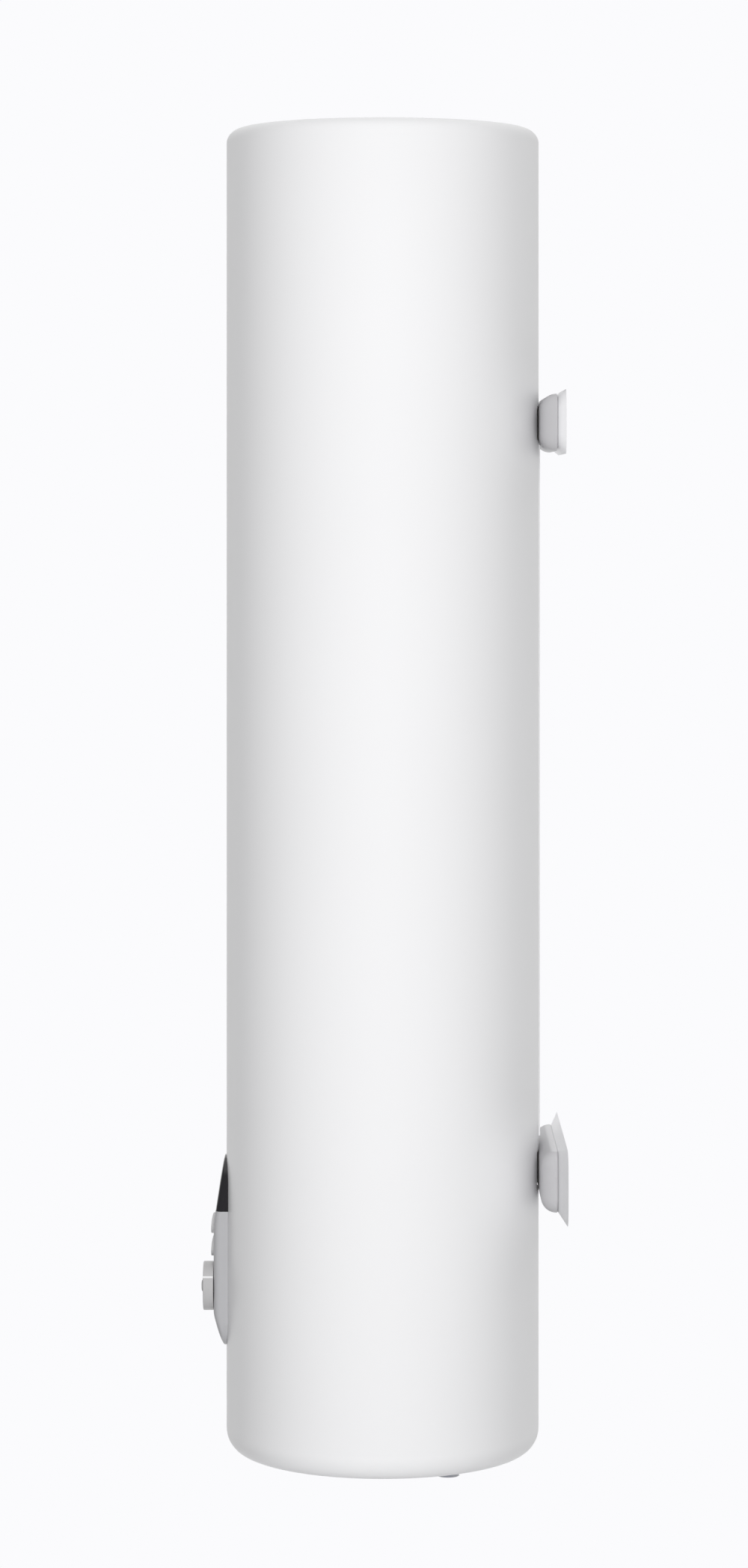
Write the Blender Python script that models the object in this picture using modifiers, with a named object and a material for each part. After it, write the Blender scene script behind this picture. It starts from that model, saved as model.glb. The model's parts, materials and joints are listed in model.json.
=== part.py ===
"""Slim wall-hung tank water heater, as an assembly of separate pieces.

Inside the file the tank axis is Z and the underside of the body is z = 0.
The front, with the control panel, faces -Y and the wall is at +Y.
An empty then shifts the whole assembly, so that the world origin is the
middle of the upper hook plate's wall face.
"""

from math import cos, pi, radians, sin, sqrt

import bmesh
import bpy
from mathutils import Vector

# ---- driving dimensions, in metres ----
BODY_RADIUS = 0.145
BODY_HEIGHT = 1.2265
CASING_WALL = 0.001
SLOT_HALF_X = 0.026              # half width of the casing slots behind the brackets
SLOT_SPARE = 0.0013              # how far those slots run past a bracket block, above and below
GAP = 0.0003                     # between pieces that touch
RING_STEPS = 36                  # facets round the large turned pieces
DOME_STEPS = 6                   # facets from a dome's weld to its crown
FLANGE_STEPS = 24

TOP_ROUND = (0.016, 0.0135)      # radial and vertical size of the upper edge's rounding
BOTTOM_ROUND = (0.018, 0.021)    # the same for the lower edge
TOP_SEAM = BODY_HEIGHT - 0.0155  # where the top cover meets the casing
BOTTOM_SEAM = 0.0225
COVER_WALL = 0.002
SKIRT_DEPTH = 0.009              # part of each cover that slips inside the casing
SKIRT_WALL = 0.0012
SERVICE_LEDGE = 0.003            # depth of the ledge that the service cover lies in

TANK_RADIUS = 0.123
TANK_WALL = 0.002
TANK_LOW = 0.110                 # weld of the lower dome
TANK_HIGH = 1.150                # weld of the upper dome
DOME_HEIGHT = 0.045
JACKET_BOTTOM = 0.060
JACKET_MOUTH = 0.097             # radius of the jacket's open underside

NECK_BORE = 0.033
NECK_OUTER = 0.036
NECK_BOTTOM = 0.048
FLANGE_RADIUS = 0.046
FLANGE_BOLT_CIRCLE = 0.041
FLANGE_TOP = 0.0452
FLANGE_THICK = 0.004
FLANGE_BOLTS = 6
BOLT_HOLE = 0.0028
ELEMENT_RADIUS = 0.004
ELEMENT_LEG_X = 0.018
ELEMENT_TOP = 0.420
POCKET_Y = -0.004
ANODE_Y = 0.020
EARTH_AT = (-0.026, 0.015)

PORT_X = 0.050                   # half the spacing of the two water stubs
PORT_Y = 0.060
PORT_RADIUS = 0.0105
PORT_BORE = 0.0075
PORT_END = -0.014                # the stubs end this far under the body
PORT_TOP = 0.088
PORT_HOLE = 0.0155               # radius of the tray's holes round the stubs and their collars

SERVICE_RADIUS = 0.060
SERVICE_MOUTH = 0.048
SERVICE_SCREW_CIRCLE = 0.054
SCREW_HOLE = 0.0018
GLAND_Y = 0.094

PANEL_WIDTH = 0.050
PANEL_LOW = 0.0967
PANEL_HIGH = 0.2735
PANEL_WALL = 0.002
PANEL_SEAM_Y = -0.1470           # front plane of the panel's inner frame
PANEL_FRONT_Y = -0.1565
TIP_LOW = 0.1040                 # below and above these heights the panel's tips are solid
TIP_HIGH = 0.2600
WINDOW_EDGE_Z = 0.2237

BUTTON_SIZE = (0.024, 0.0190)
BUTTON_Z = (0.2095, 0.1886)      # centres of the upper and lower buttons
BUTTON_PROUD = 0.0028
KNOB_Z = 0.1511
KNOB_RADIUS = 0.0225
KNOB_BACK_Y = -0.1570
KNOB_DEPTH = 0.0095
SHAFT_RADIUS = 0.003
SHAFT_CLEARANCE = 0.0042         # radius of the holes that the shaft passes through

WALL_Y = 0.167
WEB_Y = 0.143                    # the brackets' web, against the tank's stems
FLARE_Y = 0.1587                 # where a bracket's sides start to flare
BRACKET_WALL = 0.002
BRACKET_EDGE = 0.012             # rounding between a bracket's web and its sides
BRACKET_EDGE_STEPS = 3
BRACKET_CORNER = 0.013
RIM_CORNER = 0.014
RIM_SPARE = 0.001                # the rim is drawn this far past the wall, then trimmed flat
# each bracket: block width, block low, block high, rim width, rim low, rim high, neck depth, and
# how far its hook plate's ends stop short of the flare's outer face
UPPER = (0.190, 0.9266, 0.9788, 0.200, 0.9235, 0.9835, 0.0030, 0.0056)
LOWER = (0.190, 0.2336, 0.2892, 0.284, 0.2288, 0.2955, 0.0008, 0.0190)
NECK_LENGTH = 0.0012             # from the block's back edge in to the neck before the flare
UPPER_Z = 0.9525
LOWER_Z = 0.2630
PLATE_THICK = 0.002
PLATE_TRIM = 0.0056              # the same above and below
HOOK_SLOT = (0.014, 0.024)       # width and height of the hook slots
STEM_SIZE = (0.036, 0.028)

# ---- scene set-up ----
for old in list(bpy.data.objects):
    bpy.data.objects.remove(old, do_unlink=True)

PARTS = bpy.data.collections.new("tank_water_heater")
CUTTERS = bpy.data.collections.new("cutters")
for group in (PARTS, CUTTERS):
    bpy.context.scene.collection.children.link(group)

FRAME = bpy.data.objects.new("heater_frame", None)
FRAME.location = (0, -WALL_Y, -UPPER_Z)
bpy.context.scene.collection.objects.link(FRAME)


def make_material(name, colour, roughness, metallic):
    """A Principled material with one colour."""
    material = bpy.data.materials.new(name)
    material.use_nodes = True
    shader = material.node_tree.nodes["Principled BSDF"]
    shader.inputs["Base Color"].default_value = (*colour, 1)
    shader.inputs["Roughness"].default_value = roughness
    shader.inputs["Metallic"].default_value = metallic
    return material


WHITE_ENAMEL = make_material("white_enamel", (0.87, 0.87, 0.88), 0.25, 0)
WHITE_PAINT = make_material("white_bracket_paint", (0.82, 0.82, 0.83), 0.4, 0)
GREY_PLASTIC = make_material("light_grey_plastic", (0.62, 0.62, 0.64), 0.4, 0)
WINDOW_PLASTIC = make_material("dark_window_plastic", (0.01, 0.01, 0.012), 0.08, 0)
STEEL = make_material("stainless_steel", (0.62, 0.62, 0.6), 0.35, 1)
ZINC = make_material("zinc_plated_steel", (0.6, 0.6, 0.58), 0.4, 1)
MAGNESIUM = make_material("magnesium", (0.5, 0.5, 0.5), 0.6, 1)
FOAM = make_material("insulation_foam", (0.75, 0.62, 0.32), 0.9, 0)
RUBBER = make_material("black_rubber", (0.03, 0.03, 0.03), 0.7, 0)
CIRCUIT_BOARD = make_material("green_circuit_board", (0.03, 0.2, 0.07), 0.5, 0)
DARK_PLASTIC = make_material("dark_plastic", (0.05, 0.05, 0.055), 0.5, 0)
BLUE_PLASTIC = make_material("blue_plastic", (0.02, 0.12, 0.6), 0.4, 0)
RED_PLASTIC = make_material("red_plastic", (0.6, 0.03, 0.02), 0.4, 0)


# ---- helpers ----
def place(obj, material, at=(0, 0, 0), turn=(0, 0, 0)):
    """Put an object in the assembly, or with the cutters when it has no material."""
    if material:
        obj.data.materials.append(material)
        PARTS.objects.link(obj)
    else:
        CUTTERS.objects.link(obj)
        obj.hide_render = True
        obj.display_type = "WIRE"
    obj.parent = FRAME
    obj.location = at
    obj.rotation_euler = turn
    return obj


def from_bmesh(name, shape, material=None, at=(0, 0, 0), turn=(0, 0, 0), lid=None):
    """Turn a bmesh into a placed object; a lid closes an open shape only while its normals are set."""
    bmesh.ops.recalc_face_normals(shape, faces=shape.faces)
    if lid:
        shape.faces.remove(lid)
    mesh = bpy.data.meshes.new(name)
    shape.to_mesh(mesh)
    shape.free()
    return place(bpy.data.objects.new(name, mesh), material, at, turn)


def block(name, low, high, material=None):
    """A box between two corners."""
    shape = bmesh.new()
    bmesh.ops.create_cube(shape, size=1)
    size = Vector(high) - Vector(low)
    bmesh.ops.scale(shape, vec=size, verts=shape.verts)
    middle = (Vector(high) + Vector(low)) / 2
    return from_bmesh(name, shape, material, middle)


def rod(name, radius, low, high, at, material=None, sides=16):
    """An upright solid cylinder from height low to height high at (x, y)."""
    shape = bmesh.new()
    bmesh.ops.create_cone(shape, cap_ends=True, segments=sides, radius1=radius, radius2=radius,
                          depth=high - low)
    return from_bmesh(name, shape, material, (at[0], at[1], (low + high) / 2))


def drill_front(name, radius, y_low, y_high, x, z, sides=20):
    """A cutter that bores along Y."""
    shape = bmesh.new()
    bmesh.ops.create_cone(shape, cap_ends=True, segments=sides, radius1=radius, radius2=radius,
                          depth=y_high - y_low)
    return from_bmesh(name, shape, None, (x, (y_low + y_high) / 2, z), (pi / 2, 0, 0))


def turned(name, profile, material, steps=RING_STEPS, at=(0, 0, 0), turn=(0, 0, 0), ring=False):
    """A profile of (radius, height) points, outer side downwards, swept round the Z axis."""
    mesh = bpy.data.meshes.new(name)
    count = len(profile)
    edges = [(i, (i + 1) % count) for i in range(count if ring else count - 1)]
    mesh.from_pydata([(radius, 0, height) for radius, height in profile], edges, [])
    obj = place(bpy.data.objects.new(name, mesh), material, at, turn)
    screw = obj.modifiers.new("turn", "SCREW")
    screw.angle = 2 * pi
    screw.steps = steps
    screw.render_steps = steps
    screw.use_merge_vertices = True
    screw.merge_threshold = 0.00001
    return obj


def combine(obj, other, operation="DIFFERENCE"):
    """Cut, join or intersect an object with a helper shape."""
    change = obj.modifiers.new(other.name, "BOOLEAN")
    change.operation = operation
    change.solver = "EXACT"
    change.object = other


def arc(centre, radii, start, end, count):
    """Points of an elliptical arc, angles in degrees from +X towards +Z."""
    angles = [radians(start + (end - start) * i / count) for i in range(count + 1)]
    return [(centre[0] + radii[0] * cos(a), centre[1] + radii[1] * sin(a)) for a in angles]


def on_circle(radius, count, start=0.0):
    """Evenly spaced points on a circle."""
    angles = [start + 2 * pi * i / count for i in range(count)]
    return [(radius * cos(a), radius * sin(a)) for a in angles]


def dome_z(radius, outer=TANK_RADIUS, height=DOME_HEIGHT):
    """How far a dome stands off its weld line at a radius."""
    return height * sqrt(1 - (radius / outer) ** 2)


# ---- casing and covers ----
def make_casing():
    """Thin painted sheet tube with slots for the bracket stems and the controls."""
    inner = BODY_RADIUS - CASING_WALL
    low = BOTTOM_SEAM + GAP
    high = TOP_SEAM - GAP
    profile = [(BODY_RADIUS, high), (BODY_RADIUS, low), (inner, low), (inner, high)]
    casing = turned("outer_casing", profile, WHITE_ENAMEL, ring=True)
    for label, bracket in (("upper", UPPER), ("lower", LOWER)):
        slot = block(f"casing_slot_{label}", (-SLOT_HALF_X, 0.138, bracket[1] - SLOT_SPARE),
                     (SLOT_HALF_X, 0.150, bracket[2] + SLOT_SPARE))
        combine(casing, slot)
    combine(casing, block("casing_slot_front", (-0.011, -0.150, 0.108), (0.011, -0.138, 0.166)))


def make_top_cover():
    """Pressed lid with a rounded edge and a skirt inside the casing."""
    across, down = TOP_ROUND
    skirt = BODY_RADIUS - CASING_WALL - GAP
    inside = skirt - SKIRT_WALL
    low = TOP_SEAM - SKIRT_DEPTH
    outer_corner = arc((BODY_RADIUS - across, BODY_HEIGHT - down), (across, down), 90, 0, 5)
    inner_corner = arc((BODY_RADIUS - across, BODY_HEIGHT - down),
                       (inside - BODY_RADIUS + across, down - COVER_WALL), 0, 90, 3)
    profile = [(0, BODY_HEIGHT)] + outer_corner + [(BODY_RADIUS, TOP_SEAM), (skirt, TOP_SEAM)]
    profile += [(skirt, low), (inside, low)] + inner_corner + [(0, BODY_HEIGHT - COVER_WALL)]
    turned("top_cover", profile, WHITE_ENAMEL)


def make_bottom_cover():
    """Moulded tray with a recessed ledge round the service opening."""
    across, up = BOTTOM_ROUND
    skirt = BODY_RADIUS - CASING_WALL - GAP
    inside = skirt - SKIRT_WALL
    high = BOTTOM_SEAM + SKIRT_DEPTH
    outer_corner = arc((BODY_RADIUS - across, up), (across, up), 0, -90, 5)
    inner_corner = arc((BODY_RADIUS - across, up), (inside - BODY_RADIUS + across, up - COVER_WALL),
                       -90, 0, 3)
    profile = [(skirt, high), (skirt, BOTTOM_SEAM), (BODY_RADIUS, BOTTOM_SEAM)] + outer_corner
    ledge_top = SERVICE_LEDGE + COVER_WALL
    profile += [(SERVICE_RADIUS, 0), (SERVICE_RADIUS, SERVICE_LEDGE), (SERVICE_MOUTH, SERVICE_LEDGE)]
    profile += [(SERVICE_MOUTH, ledge_top), (SERVICE_RADIUS + COVER_WALL, ledge_top)]
    profile += [(SERVICE_RADIUS + COVER_WALL, COVER_WALL)] + inner_corner + [(inside, high)]
    cover = turned("bottom_cover", profile, WHITE_ENAMEL, ring=True)
    for label, x in (("cold", PORT_X), ("hot", -PORT_X)):
        combine(cover, rod(f"{label}_port_cut", PORT_HOLE, -0.01, 0.02, (x, PORT_Y), sides=24))
    combine(cover, rod("gland_cut", 0.0085, -0.01, 0.02, (0, GLAND_Y), sides=20))
    for index, point in enumerate(on_circle(SERVICE_SCREW_CIRCLE, 4, pi / 4), 1):
        combine(cover, rod(f"ledge_screw_cut_{index}", SCREW_HOLE, 0, 0.02, point, sides=10))
    for index, x in enumerate((-0.030, 0.030), 1):
        combine(cover, rod(f"board_post_{index}", 0.003, 0.001, 0.0117, (x, -0.092), sides=10), "UNION")


def make_service_cover():
    """Round lid under the flange, held by four screws."""
    low, high = 0.0004, 0.0027
    lid = rod("service_cover", SERVICE_RADIUS - 0.0005, low, high, (0, 0), WHITE_ENAMEL, RING_STEPS)
    for index, point in enumerate(on_circle(SERVICE_SCREW_CIRCLE, 4, pi / 4), 1):
        combine(lid, rod(f"lid_screw_cut_{index}", SCREW_HOLE, -0.01, 0.01, point, sides=10))
        head = [(0, 0.0060), (0.0015, 0.0060), (0.0015, 0.0001), (0.0036, 0.0001), (0.0036, -0.0006),
                (0.0026, -0.0013), (0, -0.0013)]
        turned(f"service_screw_{index}", head, ZINC, 12, (*point, 0))


# ---- tank and insulation ----
def make_tank():
    """Drawn shell and two pressed domes, welded with a small root gap."""
    inner = TANK_RADIUS - TANK_WALL
    low, high = TANK_LOW + GAP, TANK_HIGH - GAP
    turned("tank_shell", [(TANK_RADIUS, high), (TANK_RADIUS, low), (inner, low), (inner, high)],
           STEEL, ring=True)

    outer_arc = arc((0, TANK_HIGH), (TANK_RADIUS, DOME_HEIGHT), 90, 0, DOME_STEPS)
    inner_arc = arc((0, TANK_HIGH), (inner, DOME_HEIGHT - TANK_WALL), 0, 90, DOME_STEPS)
    turned("tank_top_dome", outer_arc + inner_arc, STEEL)

    outer_arc = arc((0, TANK_LOW), (TANK_RADIUS, DOME_HEIGHT), 0, -90, DOME_STEPS)
    inner_arc = arc((0, TANK_LOW), (inner, DOME_HEIGHT - TANK_WALL), -90, 0, DOME_STEPS)
    dome = turned("tank_bottom_dome", inner_arc + outer_arc, STEEL)
    combine(dome, rod("neck_cut", NECK_OUTER + 2 * GAP, 0.03, 0.10, (0, 0), sides=FLANGE_STEPS))
    for label, x in (("cold", PORT_X), ("hot", -PORT_X)):
        combine(dome, rod(f"{label}_dome_cut", PORT_RADIUS + GAP, 0.04, 0.12, (x, PORT_Y)))


def make_jacket():
    """Foamed insulation between tank and casing, open below for the fittings."""
    outer = BODY_RADIUS - CASING_WALL - GAP
    neck = outer - SKIRT_WALL - GAP
    inner = TANK_RADIUS + GAP
    stand = DOME_HEIGHT + GAP
    top = BODY_HEIGHT - COVER_WALL - GAP
    shoulder = TOP_SEAM - SKIRT_DEPTH - GAP
    upper_inside = arc((0, TANK_HIGH), (inner, stand), 0, 90, DOME_STEPS)
    lower_inside = arc((0, TANK_LOW), (inner, stand), -90, 0, DOME_STEPS)
    lower_inside = [point for point in lower_inside if point[0] > JACKET_MOUTH]
    profile = [(0, top), (0.125, top), (neck, 1.207), (neck, shoulder), (outer, shoulder)]
    profile += [(outer, JACKET_BOTTOM), (JACKET_MOUTH, JACKET_BOTTOM)] + lower_inside + upper_inside
    jacket = turned("insulation_jacket", profile, FOAM)
    for label, sizes, height in (("upper", UPPER, UPPER_Z), ("lower", LOWER, LOWER_Z)):
        half_x, half_z = STEM_SIZE[0] / 2 + GAP, STEM_SIZE[1] / 2 + GAP
        combine(jacket, block(f"stem_pocket_{label}", (-half_x, 0.110, height - half_z),
                              (half_x, 0.150, height + half_z)))
        combine(jacket, block(f"web_flat_{label}", (-SLOT_HALF_X, WEB_Y - 0.001, sizes[1] - SLOT_SPARE),
                                (SLOT_HALF_X, 0.150, sizes[2] + SLOT_SPARE)))
    combine(jacket, block("control_pocket", (-0.016, -0.150, 0.050), (0.016, -0.130, 0.190)))


def make_flange():
    """Bolted flange that carries the elements, the sensor pocket and the anode."""
    ring_top = NECK_BOTTOM + 0.004
    neck_top = 0.072
    neck = turned("flange_neck", [(NECK_OUTER, neck_top), (NECK_OUTER, ring_top),
                                  (FLANGE_RADIUS, ring_top), (FLANGE_RADIUS, NECK_BOTTOM),
                                  (NECK_BORE, NECK_BOTTOM), (NECK_BORE, neck_top)],
                  STEEL, FLANGE_STEPS, ring=True)
    gasket_low, gasket_high = FLANGE_TOP + GAP, NECK_BOTTOM - GAP
    turned("flange_gasket", [(0.0378, gasket_high), (0.0378, gasket_low), (0.0332, gasket_low),
                             (0.0332, gasket_high)], RUBBER, FLANGE_STEPS, ring=True)
    low = FLANGE_TOP - FLANGE_THICK
    plate = rod("flange_plate", FLANGE_RADIUS, low, FLANGE_TOP, (0, 0), STEEL, FLANGE_STEPS)
    shank_top = ring_top - 0.0005
    for index, point in enumerate(on_circle(FLANGE_BOLT_CIRCLE, FLANGE_BOLTS), 1):
        combine(plate, rod(f"plate_bolt_cut_{index}", BOLT_HOLE, 0.03, 0.06, point, sides=8))
        combine(neck, rod(f"neck_bolt_cut_{index}", BOLT_HOLE, 0.03, 0.06, point, sides=8))
        bolt = rod(f"flange_bolt_{index}", 0.0046, low - 0.0038, low - GAP, point, ZINC, 6)
        combine(bolt, rod(f"bolt_shank_{index}", 0.0025, low - 0.001, shank_top, point, sides=8), "UNION")
    for side in (-1, 1):
        for row, y in (("front", -0.016), ("rear", 0.004)):
            hole = rod(f"leg_cut_{row}_{side + 1}", ELEMENT_RADIUS + GAP, 0.03, 0.06,
                       (side * ELEMENT_LEG_X, y), sides=12)
            combine(plate, hole)
    combine(plate, rod("pocket_cut", 0.0053, 0.03, 0.06, (0, POCKET_Y), sides=12))
    combine(plate, rod("anode_cut", 0.0043, 0.03, 0.06, (0, ANODE_Y), sides=12))


def make_element(name, y):
    """One hairpin heating element: two legs and a half-round bend."""
    curve = bpy.data.curves.new(name, "CURVE")
    curve.dimensions = "3D"
    curve.bevel_depth = ELEMENT_RADIUS
    curve.bevel_resolution = 2
    curve.use_fill_caps = True
    bend = arc((0, ELEMENT_TOP - ELEMENT_LEG_X), (ELEMENT_LEG_X, ELEMENT_LEG_X), 180, 0, 8)
    route = [(-ELEMENT_LEG_X, 0.031)] + bend + [(ELEMENT_LEG_X, 0.031)]
    spline = curve.splines.new("POLY")
    spline.points.add(len(route) - 1)
    for point, (x, z) in zip(spline.points, route):
        point.co = (x, y, z, 1)
    place(bpy.data.objects.new(name, curve), STEEL)


def make_tank_fittings():
    """What the flange carries, and the two water stubs with their inner tubes."""
    make_element("heating_element_a", -0.016)
    make_element("heating_element_b", 0.004)
    pocket = [(0, 0.380), (0.005, 0.380), (0.005, 0.036), (0.0036, 0.036), (0.0036, 0.378), (0, 0.378)]
    turned("sensor_pocket", pocket, STEEL, 12, (0, POCKET_Y, 0))
    rod("temperature_sensor", 0.003, 0.034, 0.360, (0, POCKET_Y), DARK_PLASTIC, 10)
    anode = [(0, 0.360), (0.011, 0.360), (0.011, 0.060), (0.004, 0.060), (0.004, 0.035), (0, 0.035)]
    turned("anode_rod", anode, MAGNESIUM, 16, (0, ANODE_Y, 0))
    nut = [(0, 0.0409), (0.0045, 0.0409), (0.0045, 0.037), (0.0025, 0.037), (0.0025, 0.031), (0, 0.031)]
    turned("earth_stud", nut, ZINC, 10, (*EARTH_AT, 0))

    stub = [(PORT_RADIUS, PORT_TOP), (PORT_RADIUS, PORT_END), (PORT_BORE, PORT_END), (PORT_BORE, PORT_TOP)]
    ports = (("cold_inlet", PORT_X, BLUE_PLASTIC), ("hot_outlet", -PORT_X, RED_PLASTIC))
    for label, x, colour in ports:
        turned(f"{label}_stub", stub, ZINC, 24, (x, PORT_Y, 0), ring=True)
        hug = PORT_RADIUS + GAP
        collar = [(0.0150, 0.004), (0.0150, -GAP), (0.0175, -GAP), (0.0175, -0.003), (hug, -0.003),
                  (hug, 0.004)]
        turned(f"{label}_collar", collar, colour, 24, (x, PORT_Y, 0), ring=True)

    foot = PORT_TOP + GAP
    tube = [(0.0075, 1.178), (0.0075, foot), (0.0060, foot), (0.0060, 1.178)]
    turned("hot_dip_tube", tube, STEEL, 16, (-PORT_X, PORT_Y, 0), ring=True)
    cup = [(0, 0.128), (0.013, 0.128), (0.016, 0.124), (0.016, 0.112), (0.010, 0.112),
           (0.010, foot), (0.0078, foot), (0.0078, 0.118), (0.0140, 0.118), (0.0140, 0.123),
           (0.0120, 0.126), (0, 0.126)]
    diffuser = turned("inlet_diffuser", cup, DARK_PLASTIC, 16, (PORT_X, PORT_Y, 0))
    combine(diffuser, block("diffuser_outlet_cut", (PORT_X - 0.004, PORT_Y - 0.03, 0.1195),
                            (PORT_X + 0.004, PORT_Y + 0.03, 0.1225)))


# ---- electrical parts in the base ----
def make_base_electrics():
    """Cutout under the flange, power board with relay and terminals, and the cable gland."""
    block("safety_cutout", (-0.013, -0.017, 0.0105), (0.013, 0.009, 0.0300), DARK_PLASTIC)
    board_top = 0.0136
    block("power_board", (-0.040, -0.118, 0.0120), (0.040, -0.076, board_top), CIRCUIT_BOARD)
    block("power_relay", (0.012, -0.105, board_top + GAP), (0.032, -0.089, 0.0300), DARK_PLASTIC)
    block("terminal_block", (-0.036, -0.100, board_top + GAP), (-0.008, -0.084, 0.0270), GREY_PLASTIC)
    gland = [(0.0082, 0.0120), (0.0082, -GAP), (0.0105, -GAP), (0.0105, -0.0050), (0.0075, -0.0130),
             (0.0045, -0.0130), (0.0045, 0.0120)]
    turned("cable_gland", gland, DARK_PLASTIC, 20, (0, GLAND_Y, 0), ring=True)


def make_panel_cable():
    """Loom from the power board up the jacket's channel to the display board."""
    name = "panel_cable"
    curve = bpy.data.curves.new(name, "CURVE")
    curve.dimensions = "3D"
    curve.bevel_depth = 0.002
    curve.bevel_resolution = 2
    curve.use_fill_caps = True
    route = [(0, -0.086, 0.0140), (0, -0.086, 0.022), (-0.001, -0.096, 0.031), (-0.003, -0.112, 0.036),
             (-0.005, -0.126, 0.044), (-0.006, -0.134, 0.056), (-0.006, -0.1365, 0.080),
             (-0.006, -0.1365, 0.104), (-0.006, -0.1375, 0.115), (-0.006, -0.1410, 0.1190),
             (-0.006, -0.1450, 0.1190)]
    spline = curve.splines.new("POLY")
    spline.points.add(len(route) - 1)
    for point, where in zip(spline.points, route):
        point.co = (*where, 1)
    place(bpy.data.objects.new(name, curve), DARK_PLASTIC)


# ---- control panel ----
def pill(name, inset, y_back, y_front, material=None):
    """A capsule outline in XZ, carried from y_back forward to y_front."""
    radius = PANEL_WIDTH / 2 - inset
    reach = (PANEL_HIGH - PANEL_LOW - PANEL_WIDTH) / 2
    middle = (PANEL_HIGH + PANEL_LOW) / 2
    shape = bmesh.new()
    bmesh.ops.create_circle(shape, cap_ends=True, segments=32, radius=radius)
    for vert in shape.verts:
        vert.co.y += reach if vert.co.y > -1e-6 else -reach
    grown = bmesh.ops.extrude_face_region(shape, geom=list(shape.faces))
    tops = [item for item in grown["geom"] if isinstance(item, bmesh.types.BMVert)]
    bmesh.ops.translate(shape, vec=(0, 0, y_back - y_front), verts=tops)
    return from_bmesh(name, shape, material, (0, y_back, middle), (pi / 2, 0, 0))


def side_profile(name, points, half_width=0.04):
    """A prism across X from an outline of (y, z) points."""
    shape = bmesh.new()
    verts = [shape.verts.new((-half_width, y, z)) for y, z in points]
    face = shape.faces.new(verts)
    grown = bmesh.ops.extrude_face_region(shape, geom=[face])
    far = [item for item in grown["geom"] if isinstance(item, bmesh.types.BMVert)]
    bmesh.ops.translate(shape, vec=(2 * half_width, 0, 0), verts=far)
    return from_bmesh(name, shape)


def make_panel_shells():
    """Inner frame, lower cover, and dark window over the display; all three follow the casing's curve."""
    deep = -0.130                    # behind the casing's surface, where everything is trimmed off
    hug = rod("casing_hug", BODY_RADIUS + GAP, PANEL_LOW - 0.02, PANEL_HIGH + 0.02, (0, 0), sides=96)

    base = pill("panel_base", PANEL_WALL + GAP, deep, PANEL_SEAM_Y, GREY_PLASTIC)
    opening = pill("base_opening", 0.0045, deep + 0.01, PANEL_SEAM_Y - 0.01)
    bar = 0.003
    opening_length = block("opening_length", (-0.03, -0.17, TIP_LOW + bar),
                           (0.03, deep + 0.02, TIP_HIGH - bar))
    combine(opening, opening_length, "INTERSECT")
    combine(base, opening)
    base_length = block("base_length", (-0.03, -0.16, TIP_LOW + GAP), (0.03, deep + 0.01, TIP_HIGH - GAP))
    combine(base, base_length, "INTERSECT")
    combine(base, hug)

    inner_y = PANEL_FRONT_Y + PANEL_WALL
    low_z = WINDOW_EDGE_Z - GAP / 2
    outline = [(deep, low_z), (-0.1552, low_z), (PANEL_FRONT_Y, 0.219), (PANEL_FRONT_Y, 0.128),
               (-0.150, 0.1037), (-0.1472, 0.0960), (deep, 0.0960)]
    hollow = [(deep, low_z + 0.01), (inner_y, low_z + 0.01), (inner_y, 0.1290), (-0.1485, 0.1065),
              (PANEL_SEAM_Y, TIP_LOW), (deep, TIP_LOW)]
    housing = pill("panel_housing", 0, deep, PANEL_FRONT_Y - 0.002, GREY_PLASTIC)
    combine(housing, side_profile("housing_profile", outline), "INTERSECT")
    housing_room = pill("housing_room", PANEL_WALL, deep + 0.004, PANEL_FRONT_Y - 0.002)
    combine(housing_room, side_profile("housing_hollow", hollow), "INTERSECT")
    combine(housing, housing_room)
    combine(housing, hug)
    combine(housing, drill_front("shaft_clearance", SHAFT_CLEARANCE, -0.17, -0.14, 0, KNOB_Z))
    for index, height in enumerate(BUTTON_Z):
        combine(housing, oval(f"button_hole_{index}", 0.0003, -0.165, -0.150, height))

    high_z = WINDOW_EDGE_Z + GAP / 2
    outline = [(deep, 0.2745), (PANEL_SEAM_Y, 0.2745), (-0.1552, high_z), (deep, high_z)]
    hollow = [(deep, TIP_HIGH), (PANEL_SEAM_Y, TIP_HIGH), (-0.1532, high_z - 0.01), (deep, high_z - 0.01)]
    window = pill("panel_window", 0, deep, PANEL_FRONT_Y - 0.002, WINDOW_PLASTIC)
    combine(window, side_profile("window_profile", outline), "INTERSECT")
    window_room = pill("window_room", PANEL_WALL, deep + 0.004, PANEL_FRONT_Y - 0.002)
    combine(window_room, side_profile("window_hollow", hollow), "INTERSECT")
    combine(window, window_room)
    combine(window, hug)


def oval(name, grow, y_front, y_back, height, material=None, tilt=0.0):
    """A solid with the buttons' oval outline; tilt brings its lower front edge forward."""
    shape = bmesh.new()
    depth = y_back - y_front
    bmesh.ops.create_cone(shape, cap_ends=True, segments=24, radius1=1, radius2=1, depth=depth)
    half_x, half_z = BUTTON_SIZE[0] / 2 + grow, BUTTON_SIZE[1] / 2 + grow
    bmesh.ops.scale(shape, vec=(half_x, half_z, 1), verts=shape.verts)
    for vert in shape.verts:
        if vert.co.z > 0:
            vert.co.z += tilt * (half_z - vert.co.y) / (2 * half_z)
    return from_bmesh(name, shape, material, (0, (y_front + y_back) / 2, height), (pi / 2, 0, 0))


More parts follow.
